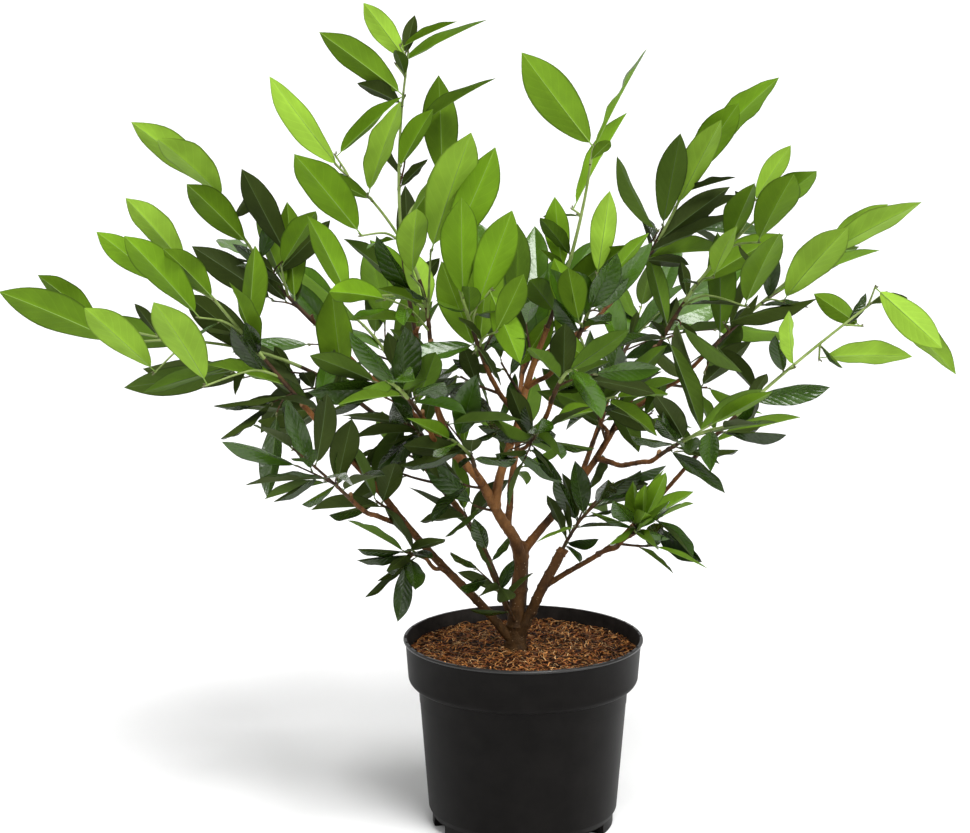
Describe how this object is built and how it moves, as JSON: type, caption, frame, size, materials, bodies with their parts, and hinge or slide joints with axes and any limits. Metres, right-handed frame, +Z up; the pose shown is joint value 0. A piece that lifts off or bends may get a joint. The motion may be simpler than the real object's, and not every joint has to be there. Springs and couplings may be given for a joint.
{
  "type": "potted cherry laurel shrub",
  "caption": "Young evergreen cherry laurel shrub with spreading leafy boughs, growing in a round nursery pot.",
  "frame": {"origin": "middle of the flat underside of the pot", "axes": "+Z up along the pot's axis, +X along the crown's widest spread, +Y away from the viewer of the picture"},
  "size_m": [0.8651, 0.5902, 0.7718],
  "materials": {
    "bough_back": "rough red-brown bark",
    "bough_back_left": "smooth young bark",
    "bough_back_right": "smooth young bark",
    "bough_centre": "rough red-brown bark",
    "bough_centre_front": "rough red-brown bark",
    "bough_centre_rising": "rough red-brown bark",
    "bough_front_high_left": "smooth young bark",
    "bough_front_high_right": "smooth young bark",
    "bough_front_left": "smooth young bark",
    "bough_front_right": "smooth young bark",
    "bough_left_main": "rough red-brown bark",
    "bough_left_rising": "rough red-brown bark",
    "bough_left_upper": "rough red-brown bark",
    "bough_low_left": "smooth young bark",
    "bough_low_right": "smooth young bark",
    "bough_right_inner": "rough red-brown bark",
    "bough_right_long": "rough red-brown bark",
    "bough_right_main": "rough red-brown bark",
    "bough_right_side": "rough red-brown bark",
    "bough_right_upper": "rough red-brown bark",
    "leaves_back": "smooth leathery leaves, glossy above and matte below",
    "leaves_back_left": "smooth leathery leaves, glossy above and matte below",
    "leaves_back_right": "smooth leathery leaves, glossy above and matte below",
    "leaves_centre_front": "smooth leathery leaves, glossy above and matte below",
    "leaves_centre_left": "smooth leathery leaves, glossy above and matte below",
    "leaves_centre_tall": "smooth leathery leaves, glossy above and matte below",
    "leaves_far_left": "smooth leathery leaves, glossy above and matte below",
    "leaves_front_high_left": "smooth leathery leaves, glossy above and matte below",
    "leaves_front_high_right": "smooth leathery leaves, glossy above and matte below",
    "leaves_front_left": "smooth leathery leaves, glossy above and matte below",
    "leaves_front_right": "smooth leathery leaves, glossy above and matte below",
    "leaves_inner_centre": "smooth leathery leaves, glossy above and matte below",
    "leaves_inner_front": "smooth leathery leaves, glossy above and matte below",
    "leaves_inner_left": "smooth leathery leaves, glossy above and matte below",
    "leaves_inner_right": "smooth leathery leaves, glossy above and matte below",
    "leaves_left_middle": "smooth leathery leaves, glossy above and matte below",
    "leaves_left_top": "smooth leathery leaves, glossy above and matte below",
    "leaves_low_left": "smooth leathery leaves, glossy above and matte below",
    "leaves_low_right": "smooth leathery leaves, glossy above and matte below",
    "leaves_outer_left": "smooth leathery leaves, glossy above and matte below",
    "leaves_right_far": "smooth leathery leaves, glossy above and matte below",
    "leaves_right_inner": "smooth leathery leaves, glossy above and matte below",
    "leaves_right_low": "smooth leathery leaves, glossy above and matte below",
    "leaves_right_short": "smooth leathery leaves, glossy above and matte below",
    "leaves_right_tall": "smooth leathery leaves, glossy above and matte below",
    "leaves_right_top": "smooth leathery leaves, glossy above and matte below",
    "leaves_right_upper": "smooth leathery leaves, glossy above and matte below",
    "leaves_short_sprig": "smooth leathery leaves, glossy above and matte below",
    "pot": "satin, finely brushed moulded black plastic",
    "soil": "loose bark and coir fibre",
    "stem_left_low": "rough red-brown bark",
    "stem_left_second": "rough red-brown bark",
    "stem_right_low": "rough red-brown bark",
    "trunk": "rough red-brown bark",
    "twig_inner_centre": "smooth young bark",
    "twig_inner_front": "smooth young bark",
    "twig_inner_left": "smooth young bark",
    "twig_inner_right": "smooth young bark",
    "twig_outer_left": "smooth young bark"
  },
  "bodies": {
    "root": {"bough_back": "bough_back", "bough_back_left": "bough_back_left", "bough_back_right": "bough_back_right", "bough_centre": "bough_centre", "bough_centre_front": "bough_centre_front", "bough_centre_rising": "bough_centre_rising", "bough_front_high_left": "bough_front_high_left", "bough_front_high_right": "bough_front_high_right", "bough_front_left": "bough_front_left", "bough_front_right": "bough_front_right", "bough_left_main": "bough_left_main", "bough_left_rising": "bough_left_rising", "bough_left_upper": "bough_left_upper", "bough_low_left": "bough_low_left", "bough_low_right": "bough_low_right", "bough_right_inner": "bough_right_inner", "bough_right_long": "bough_right_long", "bough_right_main": "bough_right_main", "bough_right_side": "bough_right_side", "bough_right_upper": "bough_right_upper", "leaves_back": "leaves_back", "leaves_back_left": "leaves_back_left", "leaves_back_right": "leaves_back_right", "leaves_centre_front": "leaves_centre_front", "leaves_centre_left": "leaves_centre_left", "leaves_centre_tall": "leaves_centre_tall", "leaves_far_left": "leaves_far_left", "leaves_front_high_left": "leaves_front_high_left", "leaves_front_high_right": "leaves_front_high_right", "leaves_front_left": "leaves_front_left", "leaves_front_right": "leaves_front_right", "leaves_inner_centre": "leaves_inner_centre", "leaves_inner_front": "leaves_inner_front", "leaves_inner_left": "leaves_inner_left", "leaves_inner_right": "leaves_inner_right", "leaves_left_middle": "leaves_left_middle", "leaves_left_top": "leaves_left_top", "leaves_low_left": "leaves_low_left", "leaves_low_right": "leaves_low_right", "leaves_outer_left": "leaves_outer_left", "leaves_right_far": "leaves_right_far", "leaves_right_inner": "leaves_right_inner", "leaves_right_low": "leaves_right_low", "leaves_right_short": "leaves_right_short", "leaves_right_tall": "leaves_right_tall", "leaves_right_top": "leaves_right_top", "leaves_right_upper": "leaves_right_upper", "leaves_short_sprig": "leaves_short_sprig", "pot": "pot", "soil": "soil", "stem_left_low": "stem_left_low", "stem_left_second": "stem_left_second", "stem_right_low": "stem_right_low", "trunk": "trunk", "twig_inner_centre": "twig_inner_centre", "twig_inner_front": "twig_inner_front", "twig_inner_left": "twig_inner_left", "twig_inner_right": "twig_inner_right", "twig_outer_left": "twig_outer_left"}
  },
  "joints": []
}
